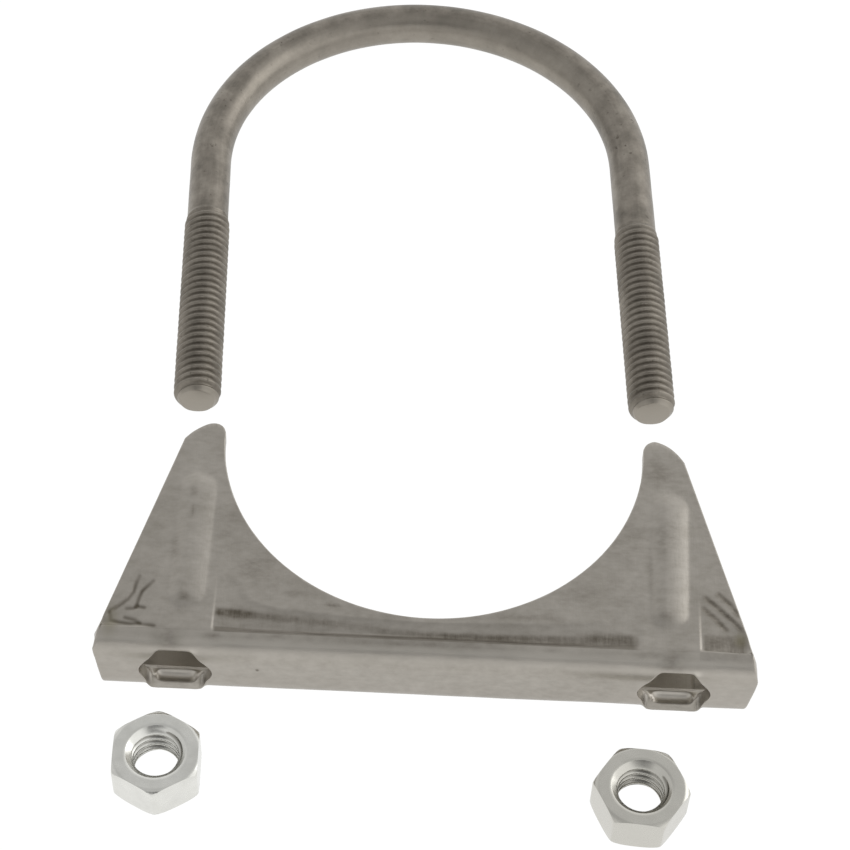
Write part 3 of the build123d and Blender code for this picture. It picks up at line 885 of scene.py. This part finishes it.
def floor():
    """A plain pale table, white to the camera and in reflections but keeping the pieces' shadows."""
    far, low = 3, -0.0001
    mesh = bpy.data.meshes.new("table")
    corners = [(-far, -far, low), (far, -far, low), (far, far, low), (-far, far, low)]
    mesh.from_pydata(corners, [], [(0, 1, 2, 3)])
    material, tree = new_material("pale table")
    path = add(tree, "ShaderNodeLightPath")
    seen = add(tree, "ShaderNodeMath", {0: path.outputs["Is Camera Ray"], 1: path.outputs["Is Glossy Ray"]},
               operation="ADD")
    seen = add(tree, "ShaderNodeMath", {0: seen.outputs[0], 1: path.outputs["Is Transmission Ray"]},
               operation="ADD", use_clamp=True)
    share = add(tree, "ShaderNodeMath", {0: seen.outputs[0], 1: 0.94}, operation="MULTIPLY")
    paint = add(tree, "ShaderNodeBsdfDiffuse", {"Color": shade("#f4f4f4")})
    glow = add(tree, "ShaderNodeEmission", {"Color": (1, 1, 1, 1), "Strength": 1.06})
    mix = add(tree, "ShaderNodeMixShader", {0: share.outputs[0], 1: paint.outputs[0], 2: glow.outputs[0]})
    add(tree, "ShaderNodeOutputMaterial", {"Surface": mix.outputs[0]})
    mesh.materials.append(material)
    table = bpy.data.objects.new("table", mesh)
    bpy.context.scene.collection.objects.link(table)


def studio():
    """A white room to the camera; to the metal its walls are white, its ceiling is greyer, its right side is
    brighter than its left, and a patch high on the camera's side is dark."""
    dark_patch, patch_stretch = (0, -0.7, 0.71), (0.4, 1, 1)
    world = bpy.data.worlds.new("studio")
    bpy.context.scene.world = world
    world.use_nodes = True
    tree = world.node_tree
    tree.nodes.clear()
    path = add(tree, "ShaderNodeLightPath")
    way = add(tree, "ShaderNodeTexCoord").outputs["Generated"]
    parts = add(tree, "ShaderNodeSeparateXYZ", {"Vector": way})
    ceiling = add(tree, "ShaderNodeMapRange", {"Value": parts.outputs["Z"], "From Min": 0.5, "From Max": 1.0,
                                               "To Min": 1.0, "To Max": 0.6}, interpolation_type="SMOOTHSTEP")
    sideways = add(tree, "ShaderNodeMapRange",
                   {"Value": parts.outputs["X"], "From Min": -1.0, "From Max": 1.0,
                    "To Min": 0.7, "To Max": 1.22})
    walls = add(tree, "ShaderNodeMath", {0: ceiling.outputs[0], 1: sideways.outputs[0]}, operation="MULTIPLY")
    # the dark patch, wider than it is high
    narrow = add(tree, "ShaderNodeVectorMath", {0: way, 1: patch_stretch}, operation="MULTIPLY")
    near = add(tree, "ShaderNodeVectorMath", {0: narrow.outputs[0], 1: dark_patch}, operation="DISTANCE")
    dark = add(tree, "ShaderNodeMapRange",
               {"Value": near.outputs["Value"], "From Min": 0.12, "From Max": 0.27,
                "To Min": 0.2, "To Max": 1.0})
    walls = add(tree, "ShaderNodeMath", {0: walls.outputs[0], 1: dark.outputs[0]}, operation="MULTIPLY")
    # metal sees the walls, the camera sees white, and other light is dimmer
    seen = add(tree, "ShaderNodeMath",
               {0: path.outputs["Is Glossy Ray"], 1: path.outputs["Is Transmission Ray"]},
               operation="ADD", use_clamp=True)
    level = add(tree, "ShaderNodeMix", {"Factor": seen.outputs[0], 2: 0.7, 3: walls.outputs[0]})
    level = add(tree, "ShaderNodeMix", {"Factor": path.outputs["Is Camera Ray"], 2: level.outputs[0], 3: 1.0})
    room = add(tree, "ShaderNodeBackground", {"Color": (1, 1, 1, 1), "Strength": level.outputs[0]})
    add(tree, "ShaderNodeOutputWorld", {"Surface": room.outputs[0]})


def lamp(name, place, aim, size, power):
    """A rectangular soft light at a place, turned to its aim; places and size in metres, power in watts."""
    light = bpy.data.lights.new(name, "AREA")
    light.shape = "RECTANGLE"
    light.size, light.size_y = size
    light.energy = power
    source = bpy.data.objects.new(name, light)
    source.location = place
    source.rotation_mode = "QUATERNION"
    source.rotation_quaternion = (Vector(aim) - Vector(place)).to_track_quat("-Z", "Y")
    bpy.context.scene.collection.objects.link(source)


def camera():
    """Looks down at the photograph's angle: 51.86 degrees below level, turned 2.7 and rolled 2.5 degrees."""
    fall, turn, roll = (math.radians(a) for a in (51.86, 2.715, 2.508))
    focal_pixels, picture_pixels, sensor = 2388.8, 850, 36.0
    eye_place = Vector((-10.813, -256.755, 315.36)) / 1000
    ahead = Vector((math.sin(turn) * math.cos(fall), math.cos(turn) * math.cos(fall), -math.sin(fall)))
    level = Vector((math.cos(turn), -math.sin(turn), 0))
    upright = level.cross(ahead)
    right = level * math.cos(roll) + upright * math.sin(roll)
    up = upright * math.cos(roll) - level * math.sin(roll)
    data = bpy.data.cameras.new("camera")
    data.sensor_width, data.lens = sensor, focal_pixels / picture_pixels * sensor
    data.clip_start, data.clip_end = 0.01, 20
    eye = bpy.data.objects.new("camera", data)
    facing = Matrix((right, up, -ahead)).transposed().to_4x4()
    eye.matrix_world = Matrix.Translation(eye_place) @ facing
    bpy.context.scene.collection.objects.link(eye)
    bpy.context.scene.camera = eye


u_bolt()
saddle()
zinc = zinc_plate()
nut("left", zinc, 0.12)
nut("right", zinc, 0.7)
floor()
studio()
lamp("right softbox", (0.75, 0.25, 0.45), (0, 0, 0), (0.5, 0.7), 1.0)
camera()
bpy.context.scene.view_settings.view_transform = "Standard"
